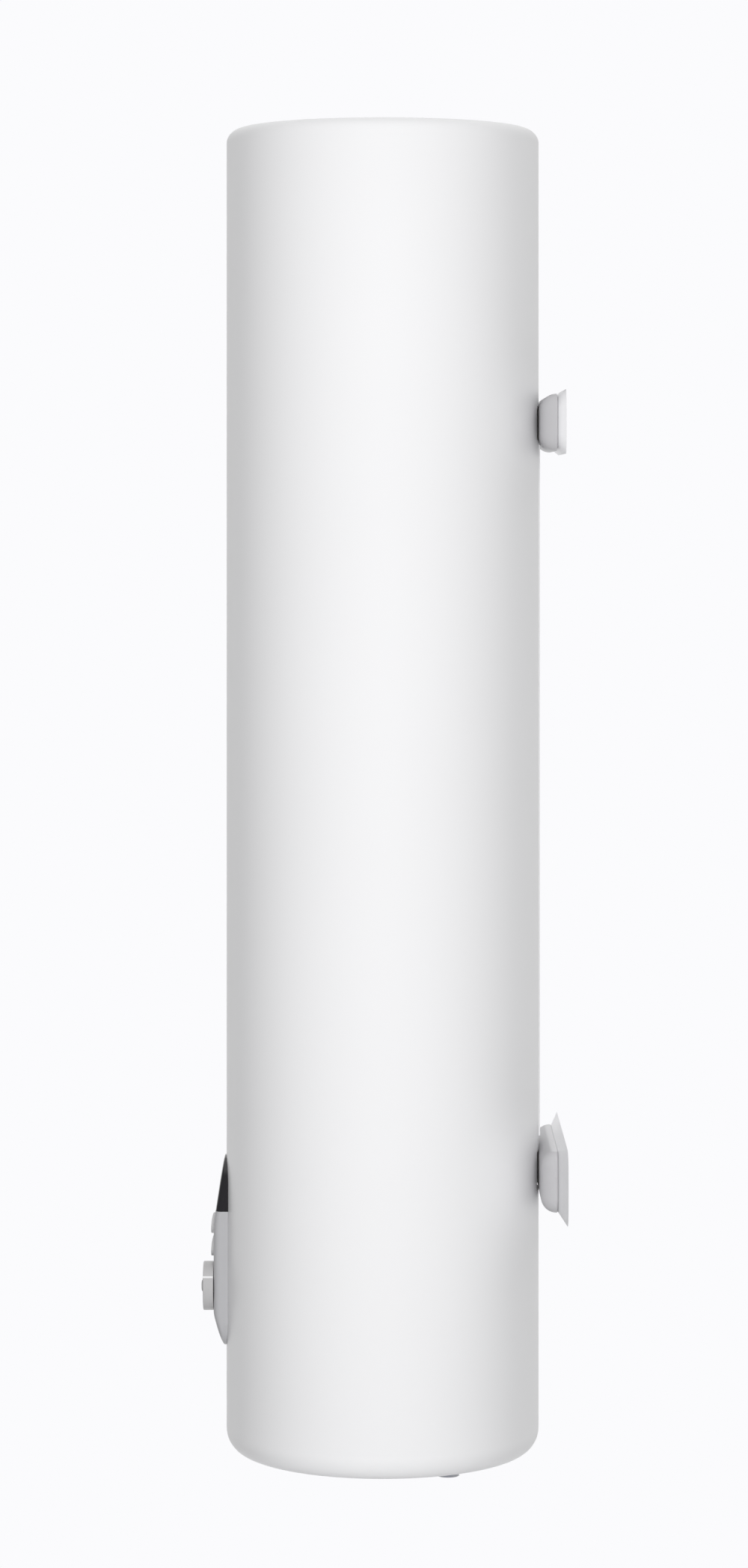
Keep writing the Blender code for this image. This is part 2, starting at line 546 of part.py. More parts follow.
def make_controls():
    """Boards, switches, the two buttons, and the knob with its shaft."""
    board = block("display_board", (-0.018, -0.1470, 0.115), (0.018, -0.1454, 0.255), CIRCUIT_BOARD)
    combine(board, drill_front("board_shaft_cut", SHAFT_CLEARANCE, -0.16, -0.14, 0, KNOB_Z))
    block("led_module", (-0.012, -0.1498, 0.224), (0.012, -0.1473, 0.238), DARK_PLASTIC)
    for label, height in zip(("upper", "lower"), BUTTON_Z):
        block(f"switch_{label}", (-0.003, -0.1514, height - 0.003), (0.003, -0.1473, height + 0.003),
              DARK_PLASTIC)
        flange_back = -0.1527
        cap = oval(f"button_{label}", 0, PANEL_FRONT_Y, flange_back, height, GREY_PLASTIC, BUTTON_PROUD)
        combine(cap, oval(f"button_flange_{label}", 0.0007, -0.1542, flange_back, height), "UNION")

    control = block("rotary_control", (-0.008, -0.1451, KNOB_Z - 0.008), (0.008, -0.1370, KNOB_Z + 0.008),
                    DARK_PLASTIC)
    combine(control, drill_front("control_bore", SHAFT_RADIUS + GAP, -0.16, -0.1390, 0, KNOB_Z))

    facing = (pi / 2, 0, 0)
    at = (0, KNOB_BACK_Y, KNOB_Z)
    bore = SHAFT_RADIUS + GAP
    edge = arc((KNOB_RADIUS - 0.0012, KNOB_DEPTH - 0.0012), (0.0012, 0.0012), 90, 0, 2)
    knob = [(0, 0.0115), (0.0042, 0.0113), (0.0058, 0.0104), (0.0064, KNOB_DEPTH)] + edge
    knob += [(KNOB_RADIUS, 0), (KNOB_RADIUS - 0.0018, 0), (KNOB_RADIUS - 0.0018, 0.0060), (0.0062, 0.0075),
             (0.0062, 0), (bore, 0), (bore, 0.0070), (0, 0.0070)]
    turned("control_knob", knob, GREY_PLASTIC, 28, at, facing)
    shaft = [(0, 0.0066), (SHAFT_RADIUS, 0.0066), (SHAFT_RADIUS, -0.0175), (0, -0.0175)]
    turned("control_shaft", shaft, ZINC, 16, at, facing)


# ---- wall brackets ----
def rounded_ring(shape, width, low, high, radius, y, corner=4):
    """A loop of vertices round a rounded rectangle in XZ at depth y."""
    half = width / 2
    loop = []
    centres = ((half - radius, high - radius, 0), (radius - half, high - radius, 90),
               (radius - half, low + radius, 180), (half - radius, low + radius, 270))
    for x, z, start in centres:
        for px, pz in arc((x, z), (radius, radius), start, start + 90, corner):
            loop.append(shape.verts.new((px, y, pz)))
    return loop


def join_rings(shape, first, second):
    """A band of quads between two loops with the same number of vertices."""
    count = len(first)
    for i in range(count):
        j = (i + 1) % count
        shape.faces.new((first[i], first[j], second[j], second[i]))


def make_bracket(label, sizes, stem_z):
    """Pressed pan with a flared rim, its hook plate, and the stem to the tank."""
    width, low, high, rim_width, rim_low, rim_high, neck, end_trim = sizes
    shape = bmesh.new()
    past = RIM_SPARE / (WALL_Y - FLARE_Y)
    spare = ((rim_width - width) * past, (rim_low - low) * past, (rim_high - high) * past)
    rings = []
    for step in range(BRACKET_EDGE_STEPS + 1):
        angle = step * pi / 2 / BRACKET_EDGE_STEPS
        inset = BRACKET_EDGE * (1 - sin(angle))
        y = WEB_Y + BRACKET_EDGE * (1 - cos(angle))
        rings.append(rounded_ring(shape, width - 2 * inset, low + inset, high - inset, BRACKET_CORNER, y))
    rings.append(rounded_ring(shape, width, low, high, BRACKET_CORNER, FLARE_Y))
    rings.append(rounded_ring(shape, width - 2 * neck, low + neck, high - neck, BRACKET_CORNER,
                              FLARE_Y + NECK_LENGTH))
    rings.append(rounded_ring(shape, rim_width + spare[0], rim_low + spare[1], rim_high + spare[2],
                              RIM_CORNER, WALL_Y + RIM_SPARE))
    shape.faces.new(rings[0])
    for first, second in zip(rings, rings[1:]):
        join_rings(shape, first, second)
    bracket = from_bmesh(f"{label}_bracket", shape, WHITE_PAINT, lid=shape.faces.new(rings[-1]))
    wall = bracket.modifiers.new("sheet", "SOLIDIFY")
    wall.thickness = BRACKET_WALL
    wall.offset = -1
    wall.use_even_offset = True
    wall_box = block(f"{label}_wall_trim", (-0.2, WALL_Y, low - 0.05), (0.2, WALL_Y + 0.02, high + 0.05))
    combine(bracket, wall_box)

    plate_front = WALL_Y - PLATE_THICK
    part = (plate_front - FLARE_Y) / (WALL_Y - FLARE_Y)
    plate_width = width + part * (rim_width - width) - 2 * end_trim
    plate_low = low + part * (rim_low - low) + PLATE_TRIM
    plate_high = high + part * (rim_high - high) - PLATE_TRIM
    plate_shape = bmesh.new()
    plate_size = (plate_width, plate_low, plate_high, BRACKET_CORNER)
    front = rounded_ring(plate_shape, *plate_size, plate_front)
    back = rounded_ring(plate_shape, *plate_size, WALL_Y)
    plate_shape.faces.new(front)
    plate_shape.faces.new(back)
    join_rings(plate_shape, front, back)
    plate = from_bmesh(f"{label}_hook_plate", plate_shape, ZINC)
    for side in (-1, 1):
        x = side * width * 0.3
        half_x, half_z = HOOK_SLOT[0] / 2, HOOK_SLOT[1] / 2
        combine(plate, block(f"{label}_hook_cut_{side + 1}", (x - half_x, 0.160, stem_z - half_z),
                             (x + half_x, 0.175, stem_z + half_z)))

    half_x, half_z = STEM_SIZE[0] / 2, STEM_SIZE[1] / 2
    stem = block(f"{label}_bracket_stem", (-half_x, 0.115, stem_z - half_z),
                 (half_x, WEB_Y - GAP, stem_z + half_z), STEEL)
    hug = rod(f"{label}_stem_hug", TANK_RADIUS + GAP, stem_z - 0.03, stem_z + 0.03, (0, 0), sides=96)
    combine(stem, hug)


make_casing()
make_top_cover()
make_bottom_cover()
make_service_cover()
make_tank()
make_jacket()
make_flange()
make_tank_fittings()
make_base_electrics()
make_panel_cable()
make_panel_shells()
make_controls()
make_bracket("upper", UPPER, UPPER_Z)
make_bracket("lower", LOWER, LOWER_Z)
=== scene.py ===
# %% [markdown]
# # A slim tank water heater
# The heater is a tall enamelled tube with a rounded lid and a rounded tray, two pressed brackets at its
# back and a narrow control panel low on its front. The engineering model already says where every part
# is, so this lesson only builds the fine surfaces around it, and gives every part its finish.

# %% Load the fixed frame
import json
from math import exp, log, pi, radians, sqrt

import bmesh
import bpy
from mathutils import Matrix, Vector


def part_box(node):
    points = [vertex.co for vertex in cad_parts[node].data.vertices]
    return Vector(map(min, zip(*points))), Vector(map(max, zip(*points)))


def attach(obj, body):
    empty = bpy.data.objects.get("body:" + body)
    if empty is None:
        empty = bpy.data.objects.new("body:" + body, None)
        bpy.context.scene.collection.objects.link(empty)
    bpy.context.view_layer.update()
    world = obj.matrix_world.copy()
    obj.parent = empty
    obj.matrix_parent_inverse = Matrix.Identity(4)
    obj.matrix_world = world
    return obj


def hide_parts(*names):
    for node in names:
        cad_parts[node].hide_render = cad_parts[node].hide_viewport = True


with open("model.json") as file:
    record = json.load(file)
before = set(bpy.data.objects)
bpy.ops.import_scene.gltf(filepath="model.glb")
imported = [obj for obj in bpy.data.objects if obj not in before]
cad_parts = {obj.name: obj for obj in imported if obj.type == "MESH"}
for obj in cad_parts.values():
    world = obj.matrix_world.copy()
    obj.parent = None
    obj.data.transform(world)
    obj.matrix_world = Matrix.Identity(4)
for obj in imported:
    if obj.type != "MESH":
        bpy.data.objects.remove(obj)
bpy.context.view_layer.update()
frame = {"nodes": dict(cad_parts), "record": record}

# %% [markdown]
# Every size below comes from the frame, or is a detail that only the surface has, such as an edge's
# rounding. The tank's axis is upright. The front faces -Y and the wall is at +Y.

# %% Main sizes
casing_low, casing_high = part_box("outer_casing")
RADIUS = (casing_high.x - casing_low.x) / 2
AXIS_Y = (casing_high.y + casing_low.y) / 2
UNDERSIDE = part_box("bottom_cover")[0].z
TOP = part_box("top_cover")[1].z
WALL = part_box("upper_hook_plate")[1].y
FIT = 0.0003                      # the clearance that the model keeps between touching parts
TRAY_JOINT = casing_low.z - FIT
LID_JOINT = casing_high.z + FIT
# each bracket pan: its block's low and high edge above the underside, its neck's depth, its rim's drop
PANS = {"upper": (0.9266, 0.9788, 0.0030, 0.0), "lower": (0.2322, 0.2892, 0.0008, 0.0030)}
print("radius", round(RADIUS, 4), "height", round(TOP - UNDERSIDE, 4))

# %% [markdown]
# ## Camera, floor and light
# The camera stands level beside the heater, at about two thirds of its height, so the lid is seen a
# little from above and the tray a little from below. Moving the picture with the lens shift, and not by
# tilting the camera, keeps the tube's sides upright.

# %% Camera
EYE_DISTANCE = 4.06
EYE_HEIGHT = 0.8875
camera_data = bpy.data.cameras.new("camera")
camera_data.sensor_width = 36
camera_data.lens = 100.2
camera_data.shift_x = -0.0055
camera_data.shift_y = -0.1851
camera = bpy.data.objects.new("camera", camera_data)
camera.location = (EYE_DISTANCE, AXIS_Y, UNDERSIDE + EYE_HEIGHT)
camera.rotation_euler = (pi / 2, 0, pi / 2)
bpy.context.scene.collection.objects.link(camera)
bpy.context.scene.camera = camera
bpy.context.scene.view_settings.view_transform = "Standard"
print("camera at", [round(value, 3) for value in camera.location])


# %% [markdown]
# A finish is a small graph of nodes. The classes below let the maths in it be written as plain
# expressions: a wire is one output, and adding or multiplying wires adds the Math node for it.

# %% Wires
class Wire:
    """One output socket. Sums and products of wires add Math nodes."""

    def __init__(self, graph, socket):
        self.graph = graph
        self.socket = socket

    def math(self, operation, first, second):
        return self.graph.node("Math", {"operation": operation}, {0: first, 1: second})

    def __add__(self, other):
        return self.math("ADD", self, other)

    def __radd__(self, other):
        return self.math("ADD", other, self)

    def __mul__(self, other):
        return self.math("MULTIPLY", self, other)

    def __rmul__(self, other):
        return self.math("MULTIPLY", other, self)

    def __pow__(self, other):
        return self.math("POWER", self, other)


# %% [markdown]
# A graph is a node tree that grows one call at a time: any node but a sum or product comes from the one
# method `node`. It sets a node's settings before its sockets, because some settings change the sockets.

# %% Graphs
class Graph:
    """A node tree, and the one method that adds a node to it."""

    def __init__(self, tree):
        self.tree = tree

    def node(self, kind, settings=None, inputs=None, out=0):
        """Add a node with its settings, and the values or wires of its sockets; out picks the output."""
        node = self.tree.nodes.new("ShaderNode" + kind)
        for key, value in (settings or {}).items():
            if key == "stops":
                ramp = node.color_ramp
                while len(ramp.elements) < len(value):
                    ramp.elements.new(0.5)
                for element, (position, colour) in zip(ramp.elements, value):
                    element.position = position
                    element.color = colour
            else:
                setattr(node, key, value)
        for key, value in (inputs or {}).items():
            self.put(node.inputs[key], value)
        return Wire(self, node.outputs[out]) if node.outputs else None

    def put(self, socket, value):
        if isinstance(value, Wire):
            self.tree.links.new(value.socket, socket)
        else:
            socket.default_value = value

    def zone(self, amount, start, full, strength=1.0):
        """Grows smoothly from nothing to a strength while an amount goes from start to full."""
        ramp = {"Value": amount, "From Min": start, "From Max": full, "To Max": strength}
        return self.node("MapRange", {"interpolation_type": "SMOOTHSTEP"}, ramp)


# %% [markdown]
# A finish is the graph of one material. Its patterns are placed by the piece's own coordinates, so that
# they stay on the piece when it moves.

# %% Finishes
class Finish(Graph):
    """A material, with the wires and sockets that every finish uses."""

    def __init__(self, name):
        self.material = bpy.data.materials.new(name)
        self.material.use_nodes = True
        super().__init__(self.material.node_tree)
        self.shader = self.tree.nodes["Principled BSDF"]
        self.place = self.node("TexCoord", out="Object")

    def noise(self, scale, detail=2.0, stretch=None):
        """Soft random pattern, with scale in patches per metre; stretch gives a scale for each axis."""
        place = self.place
        if stretch:
            place = self.node("Mapping", inputs={"Vector": place, "Scale": stretch})
        return self.node("TexNoise", inputs={"Vector": place, "Scale": scale, "Detail": detail})

    def along(self, axis):
        """The piece's own coordinate along one axis."""
        return self.node("SeparateXYZ", inputs={0: self.place}, out=axis)

    def surface(self, **values):
        """Set sockets of the shader, with _ for each space in their names."""
        for key, value in values.items():
            self.put(self.shader.inputs[key.replace("_", " ")], value)

    def relief(self, height, distance):
        """Bumps, with their full height in metres."""
        bump = self.node("Bump", inputs={"Height": height, "Distance": distance, "Strength": 1.0})
        self.put(self.shader.inputs["Normal"], bump)

    def tint(self, low, high, factor):
        """Colour between two shades, by a factor from 0 to 1."""
        stops = ((0.0, (*low, 1)), (1.0, (*high, 1)))
        self.surface(Base_Color=self.node("ValToRGB", {"stops": stops}, {"Fac": factor}))


def around(colour, spread):
    """A darker and a lighter shade of a colour."""
    return [c * (1 - spread) for c in colour], [min(1, c * (1 + spread)) for c in colour]


print("finish helpers ready")

# %% [markdown]
# The background is a plain white studio. Its surroundings are bright behind the heater, so the tube's
# edges pick up a pale reflection, bright above and below, so the lid and tray don't darken, and dim
# elsewhere. One tall soft light stands beside the camera.

# %% Studio
world = bpy.data.worlds.new("studio")
bpy.context.scene.world = world
world.use_nodes = True
sky = Graph(world.node_tree)
sky.tree.nodes.clear()
heading = sky.node("TexCoord", out="Generated")
BEHIND = (-0.995, 0.1, 0)          # away from the camera, and a little towards the wall
DIM = 0.255
rearward = sky.node("VectorMath", {"operation": "DOT_PRODUCT"}, {0: heading, 1: BEHIND}, out="Value")
upward = sky.node("SeparateXYZ", inputs={0: heading}, out="Z")
strength = sky.zone(rearward, 0.45, 0.75, 1.2) + sky.zone(upward ** 2, 0.2, 0.8, 0.8) + DIM
surroundings = sky.node("Background", inputs={"Strength": strength})
backdrop = sky.node("Background", inputs={"Color": (0.965, 0.965, 0.982, 1)})
seen = sky.node("LightPath", out="Is Camera Ray")
shown = sky.node("MixShader", inputs={0: seen, 1: surroundings, 2: backdrop})
sky.node("OutputWorld", inputs={"Surface": shown})


def soft_light(name, location, target, size, power):
    """A rectangular light, size (wide, tall), that faces a point."""
    data = bpy.data.lights.new(name, "AREA")
    data.shape = "RECTANGLE"
    data.size, data.size_y = size
    data.energy = power
    light = bpy.data.objects.new(name, data)
    light.location = location
    light.rotation_euler = (Vector(target) - Vector(location)).to_track_quat("-Z", "Y").to_euler()
    light.visible_glossy = False
    bpy.context.scene.collection.objects.link(light)


MIDDLE = (0, AXIS_Y, (TOP + UNDERSIDE) / 2)
soft_light("key", (4.6, AXIS_Y + 0.05, MIDDLE[2] + 0.6), MIDDLE, size=(2.0, 3.4), power=169)
print("studio lights", len(bpy.data.lights))

# %% [markdown]
# The heater hangs on a wall, so the floor lies well below it: a plain pale disc.

# %% Floor
FLOOR_DROP = 0.45
FLOOR_THICK = 0.01
bpy.ops.object.select_all(action="DESELECT")
bpy.ops.mesh.primitive_cylinder_add(vertices=128, radius=0.55, depth=FLOOR_THICK,
                                    location=(0, AXIS_Y, UNDERSIDE - FLOOR_DROP - FLOOR_THICK / 2))
floor = bpy.context.object
floor.name = "floor"
pale = Finish("pale_floor")
pale.tint(*around((0.82, 0.82, 0.83), 0.02), pale.noise(3.0))
pale.surface(Roughness=0.6)
floor.data.materials.append(pale.material)
print("floor", FLOOR_DROP, "m below the heater")

# %% [markdown]
# ## Finishes
# White goods are steel sheet with a baked enamel: glossy, very even, with a faint orange-peel ripple
# about a millimetre or two across that only shows in reflections. The moulded covers have the same
# white, with a slightly softer gloss. The brackets have a thinner satin paint, and light and shade are
# painted into its colour: the side walls are painted grey as painted shade, and the flat tops and the
# flare at the wall are painted lighter as painted light.

# %% White finishes
def ripple(finish, scale, depth):
    """Orange peel: smooth waves of a given number per metre."""
    finish.relief(finish.noise(scale, 1.0), depth)


enamel = Finish("white_enamel")
enamel.tint(*around((0.88, 0.88, 0.89), 0.012), enamel.noise(6.0))
enamel.surface(Roughness=0.42 + 0.05 * enamel.noise(40.0), IOR=1.5)
enamel.surface(Coat_Roughness=0.22, Coat_Weight=0.12)
ripple(enamel, 520.0, 0.000004)

cover_white = Finish("white_cover_plastic")
cover_white.tint(*around((0.88, 0.88, 0.89), 0.01), cover_white.noise(9.0))
cover_white.surface(Roughness=0.43 + 0.05 * cover_white.noise(60.0), IOR=1.5)
cover_white.surface(Coat_Roughness=0.22, Coat_Weight=0.12)
ripple(cover_white, 900.0, 0.000004)


# where the flare at the wall starts; from here on the bracket paint is painted lighter, as painted light
FLARE_FROM = WALL - 0.0075


def bracket_paint_and_shade(label):
    """Satin paint for one bracket pan, with painted shade on its side walls and painted light on its flat
    top and flare.
    """
    paint = Finish(f"white_bracket_paint_{label}")
    block_top = UNDERSIDE + PANS[label][1]
    # painted light and shade: paler from the flare's start to the wall and on the block's flat top, grey as
    # painted shade on the side walls
    flare = paint.zone(paint.along("Y"), FLARE_FROM, FLARE_FROM + 0.0012)
    top = paint.zone(paint.along("Z"), block_top - 0.0014, block_top - 0.0002, 0.45)
    paint.tint((0.50, 0.495, 0.51), (0.88, 0.88, 0.895), flare + top + 0.03 * paint.noise(35.0))
    paint.surface(Roughness=0.42 + 0.12 * paint.noise(160.0))
    ripple(paint, 1400.0, 0.00003)
    return paint


bracket_paints_and_shade = {label: bracket_paint_and_shade(label) for label in PANS}
print("white finishes", 2 + len(bracket_paints_and_shade))

# %% [markdown]
# The panel is moulded in light grey with a fine spark-eroded grain, and its window is smoked plastic,
# polished so that it reads black until the display behind it lights up.

# %% Panel finishes
grey = Finish("light_grey_plastic")
grey.tint(*around((0.47, 0.47, 0.485), 0.02), grey.noise(120.0))
grey.surface(Roughness=0.33 + 0.1 * grey.noise(300.0))
ripple(grey, 3200.0, 0.000012)

key_grey = Finish("key_grey_plastic")
key_grey.tint(*around((0.58, 0.58, 0.59), 0.015), key_grey.noise(150.0))
key_grey.surface(Roughness=0.3 + 0.08 * key_grey.noise(260.0))
ripple(key_grey, 2600.0, 0.000008)

knob_grey = Finish("knob_grey_plastic")
knob_grey.tint(*around((0.50, 0.495, 0.50), 0.02), knob_grey.noise(130.0))
knob_grey.surface(Roughness=0.31 + 0.1 * knob_grey.noise(280.0))
ripple(knob_grey, 3000.0, 0.00001)

mark_white = Finish("mark_white_plastic")
mark_white.tint(*around((0.85, 0.85, 0.86), 0.01), mark_white.noise(200.0))
mark_white.surface(Roughness=0.35 + 0.05 * mark_white.noise(300.0))

smoked = Finish("smoked_window")
smoked.tint((0.012, 0.011, 0.014), (0.017, 0.016, 0.019), smoked.noise(30.0))
smoked.surface(Roughness=0.07 + 0.05 * smoked.noise(90.0), IOR=1.5)
smoked.surface(Coat_Weight=0.5, Coat_Roughness=0.03)
ripple(smoked, 180.0, 0.000006)
print("panel finishes 5")

# %% [markdown]
# Inside are bare metals. Rolled sheet and drawn tube have fine streaks along the rolling direction, so
# their noise is stretched along one axis. Zinc plate is finer and a little bluish, and cast magnesium
# is dull and pitted.

# %% Metal finishes
def streaked_metal(name, colour, roughness, stretch, scale):
    metal = Finish(name)
    streaks = metal.noise(scale, 3.0, stretch)
    metal.tint(*around(colour, 0.1), streaks)
    metal.surface(Metallic=1.0, Roughness=roughness + 0.14 * streaks)
    metal.relief(streaks, 0.00002)
    return metal


stainless = streaked_metal("stainless_steel", (0.60, 0.60, 0.585), 0.26, (1, 1, 0.02), 1500.0)
zinc = streaked_metal("zinc_plated_steel", (0.62, 0.63, 0.65), 0.28, (1, 1, 0.6), 900.0)
magnesium = Finish("cast_magnesium")
pits = magnesium.noise(700.0, 4.0)
magnesium.tint((0.34, 0.34, 0.345), (0.56, 0.56, 0.57), pits)
magnesium.surface(Metallic=1.0, Roughness=0.5 + 0.2 * pits)
magnesium.relief(pits, 0.0002)
print("metal finishes 3")

# %% [markdown]
# The jacket is rigid foam, a mass of small cells under a skin. Rubber is matte with a dusty bloom. The
# circuit boards have a green mask over copper tracks, drawn here as a brick pattern.

# %% Other finishes
foam = Finish("insulation_foam")
cells = foam.node("TexVoronoi", inputs={"Vector": foam.place, "Scale": 380.0}, out="Distance")
foam.tint((0.62, 0.47, 0.20), (0.82, 0.70, 0.40), cells)
foam.surface(Roughness=0.85 + 0.1 * foam.noise(50.0))
foam.relief(cells, 0.0008)

rubber = Finish("black_rubber")
bloom = rubber.noise(90.0, 4.0)
rubber.tint((0.018, 0.018, 0.018), (0.05, 0.05, 0.05), bloom)
rubber.surface(Roughness=0.6 + 0.2 * bloom)
rubber.relief(rubber.noise(1800.0), 0.00003)

board = Finish("circuit_board")
track_place = board.node("Mapping", inputs={"Vector": board.place, "Rotation": (pi / 2, 0, 0.3)})
tracks = board.node("TexBrick", inputs={"Vector": track_place, "Scale": 130.0, "Mortar Size": 0.03,
                                        "Color1": (0, 0, 0, 1), "Color2": (0.3, 0.3, 0.3, 1),
                                        "Mortar": (1, 1, 1, 1)})
board.tint((0.012, 0.11, 0.035), (0.06, 0.30, 0.10), tracks)
board.surface(Roughness=0.3 + 0.15 * board.noise(200.0))
board.relief(tracks, 0.00004)


def moulded(name, colour, roughness):
    """Plain moulded plastic with a fine grain."""
    plastic = Finish(name)
    plastic.tint(*around(colour, 0.06), plastic.noise(140.0))
    plastic.surface(Roughness=roughness + 0.12 * plastic.noise(400.0))
    plastic.relief(plastic.noise(2400.0), 0.00002)
    return plastic


dark = moulded("dark_plastic", (0.045, 0.045, 0.05), 0.42)
blue = moulded("blue_plastic", (0.02, 0.11, 0.52), 0.3)
red = moulded("red_plastic", (0.55, 0.03, 0.02), 0.3)

FINISHES = {
    "white_enamel": enamel, "white_plastic": cover_white, "white_bracket_paint": bracket_paints_and_shade["upper"],
    "light_grey_plastic": grey, "dark_window_plastic": smoked, "stainless_steel": stainless,
    "zinc_plated_steel": zinc, "magnesium": magnesium, "insulation_foam": foam, "black_rubber": rubber,
    "circuit_board": board, "dark_plastic": dark, "blue_plastic": blue, "red_plastic": red,
}
print("finishes", len(FINISHES))

# %% [markdown]
# Most parts inside keep the engineering model's shape, because nothing finer would ever be seen. Each
# one takes the finish of its material slot.

# %% Finish every model part
for entry in frame["record"]["subparts"]:
    node = frame["nodes"][entry["node"]]
    node.data.materials.clear()
    node.data.materials.append(FINISHES[entry["material_slot"]].material)


# %% [markdown]
# ## Modelling helpers
# Each visible piece starts as a primitive of the right size in the right place, and is then shaped in
# edit mode. `pick` selects what an operator works on by its place, as a click with the mouse would.

# %% Starting a piece
def let_go():
    """Back to object mode with nothing selected."""
    if bpy.context.object and bpy.context.object.mode != "OBJECT":
        bpy.ops.object.mode_set(mode="OBJECT")
    bpy.ops.object.select_all(action="DESELECT")


def use(piece):
    """Make one piece the active and only selected one."""
    let_go()
    piece.select_set(True)
    bpy.context.view_layer.objects.active = piece


def begin(name):
    """Name the new primitive and put its place and size into its mesh."""
    piece = bpy.context.object
    piece.name = piece.data.name = name
    bpy.ops.object.transform_apply(location=True, rotation=True, scale=True)
    return piece


def upright(name, radius, low, high, at=(0, AXIS_Y), sides=96, ends="NGON"):
    """A cylinder round a vertical line."""
    let_go()
    bpy.ops.mesh.primitive_cylinder_add(vertices=sides, radius=radius, depth=high - low,
                                        end_fill_type=ends, location=(at[0], at[1], (low + high) / 2))
    return begin(name)


def facing(name, radius, front, back, z, sides=96, flat=1.0):
    """A cylinder that points at the front; flat squeezes its height."""
    let_go()
    bpy.ops.mesh.primitive_cylinder_add(vertices=sides, radius=radius, depth=back - front,
                                        location=(0, (front + back) / 2, z), rotation=(pi / 2, 0, 0),
                                        scale=(1, flat, 1))
    return begin(name)


def brick(name, low, high):
    """A box between two corners."""
    let_go()
    low, high = Vector(low), Vector(high)
    bpy.ops.mesh.primitive_cube_add(size=1, location=(low + high) / 2, scale=high - low)
    return begin(name)


def middle_of(node):
    """The centre of a part's box."""
    low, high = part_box(node)
    return (low + high) / 2


print("knob centre", [round(value, 4) for value in middle_of("control_knob")])


# %% [markdown]
# An operator works on all that is selected. So each selection starts from nothing, and takes what a
# test on place or direction lets through.

# %% Picking
def corners(element):
    return [element] if isinstance(element, bmesh.types.BMVert) else element.verts


def on(axis, place, slack=0.00001):
    """A test for what lies wholly in one plane; axis is 0, 1 or 2."""
    return lambda element: all(abs(vert.co[axis] - place) < slack for vert in corners(element))


def runs_back(edge):
    """A test for edges that run from front to back."""
    return abs(edge.verts[0].co.y - edge.verts[1].co.y) > 0.001


def pick(piece, kind, test):
    """In edit mode, select the vertices, edges or faces that pass a test, and nothing else."""
    if piece.mode != "EDIT":
        use(piece)
        bpy.ops.object.mode_set(mode="EDIT")
    bpy.ops.mesh.select_mode(type=kind)
    bpy.ops.mesh.select_all(action="DESELECT")
    shape = bmesh.from_edit_mesh(piece.data)
    for element in {"VERT": shape.verts, "EDGE": shape.edges, "FACE": shape.faces}[kind]:
        if test(element):
            element.select_set(True)
    shape.select_flush_mode()
    bmesh.update_edit_mesh(piece.data)


print("picking ready")


# %% [markdown]
# The edit mode steps that come back again and again have short names, as they have keys on a keyboard.

# %% Edit mode steps
def move(x=0, y=0, z=0):
    bpy.ops.transform.translate(value=(x, y, z))


def resize(value, about):
    bpy.ops.transform.resize(value=value, center_override=about)


def extrude(x=0, y=0, z=0):
    bpy.ops.mesh.extrude_region_move(TRANSFORM_OT_translate={"value": (x, y, z)})


def raise_faces(height):
    """Extrude along the faces' own directions; a height below nothing sinks them."""
    bpy.ops.mesh.extrude_region_shrink_fatten(TRANSFORM_OT_shrink_fatten={"value": height})


def inset(width):
    bpy.ops.mesh.inset(thickness=width)


def round_edges(width, segments):
    bpy.ops.mesh.bevel(offset=width, segments=segments, affect="EDGES")


def slice_level(height, **side_to_clear):
    """Cut a level line through the whole piece."""
    bpy.ops.mesh.select_all(action="SELECT")
    bpy.ops.mesh.bisect(plane_co=(0, 0, height), plane_no=(0, 0, 1), **side_to_clear)


print("edit mode steps ready")


# %% [markdown]
# Modifiers finish a piece, and are applied at once. `hand_over` is the last step of every piece: it
# shades it, gives it its finish, ties it to the body it moves with, and hides the model parts that it
# stands for.

# %% Finishing a piece
def modify(piece, kind, **settings):
    """Add a modifier and apply it."""
    use(piece)
    modifier = piece.modifiers.new(kind.lower(), kind)
    for key, value in settings.items():
        setattr(modifier, key, value)
    bpy.ops.object.modifier_apply(modifier=modifier.name)


def cut(piece, cutter, operation="DIFFERENCE", folded=False):
    """Cut a piece with a helper shape, then delete the helper; folded is for walls that overlap."""
    modify(piece, "BOOLEAN", object=cutter, operation=operation, solver="EXACT", use_self=folded)
    bpy.data.objects.remove(cutter)


def thicken(piece, wall):
    """Give an open surface a wall on its inner side."""
    modify(piece, "SOLIDIFY", thickness=wall, offset=-1, use_even_offset=True)


def soften(piece, width, angle=35):
    """Take the sharpness off every edge that bends by more than an angle in degrees."""
    modify(piece, "BEVEL", width=width, segments=2, limit_method="ANGLE",
           angle_limit=radians(angle), use_clamp_overlap=True)


def hand_over(piece, body, slot, finish, *nodes):
    """Shade a finished piece, give it its finish, tie it to its body, and hide the model parts it stands
    for.
    """
    use(piece)
    bpy.ops.object.shade_smooth_by_angle(angle=radians(32))
    piece.data.materials.clear()
    piece.data.materials.append(finish.material)
    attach(piece, body)
    if nodes:
        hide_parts(*nodes)
    print(piece.name, len(piece.data.polygons), "faces")


def copy_of(piece, name, x=0, y=0, z=0):
    """A copy with its own mesh, moved by its points."""
    twin = piece.copy()
    twin.data = piece.data.copy()
    twin.name = twin.data.name = name
    bpy.context.scene.collection.objects.link(twin)
    use(twin)
    bpy.ops.object.mode_set(mode="EDIT")
    bpy.ops.mesh.select_all(action="SELECT")
    move(x, y, z)
    let_go()
    return twin


print("finishing ready")

# %% [markdown]
# ## The casing
# The casing is thin sheet rolled into a tube, and its two edges are folded together into a flat lock
# seam down the back between the brackets. An open cylinder is the rolled sheet, two strips of it at the
# back are raised into the seam, and the wall's thickness goes inwards. Three slots let the
# bracket stems and the controls through.

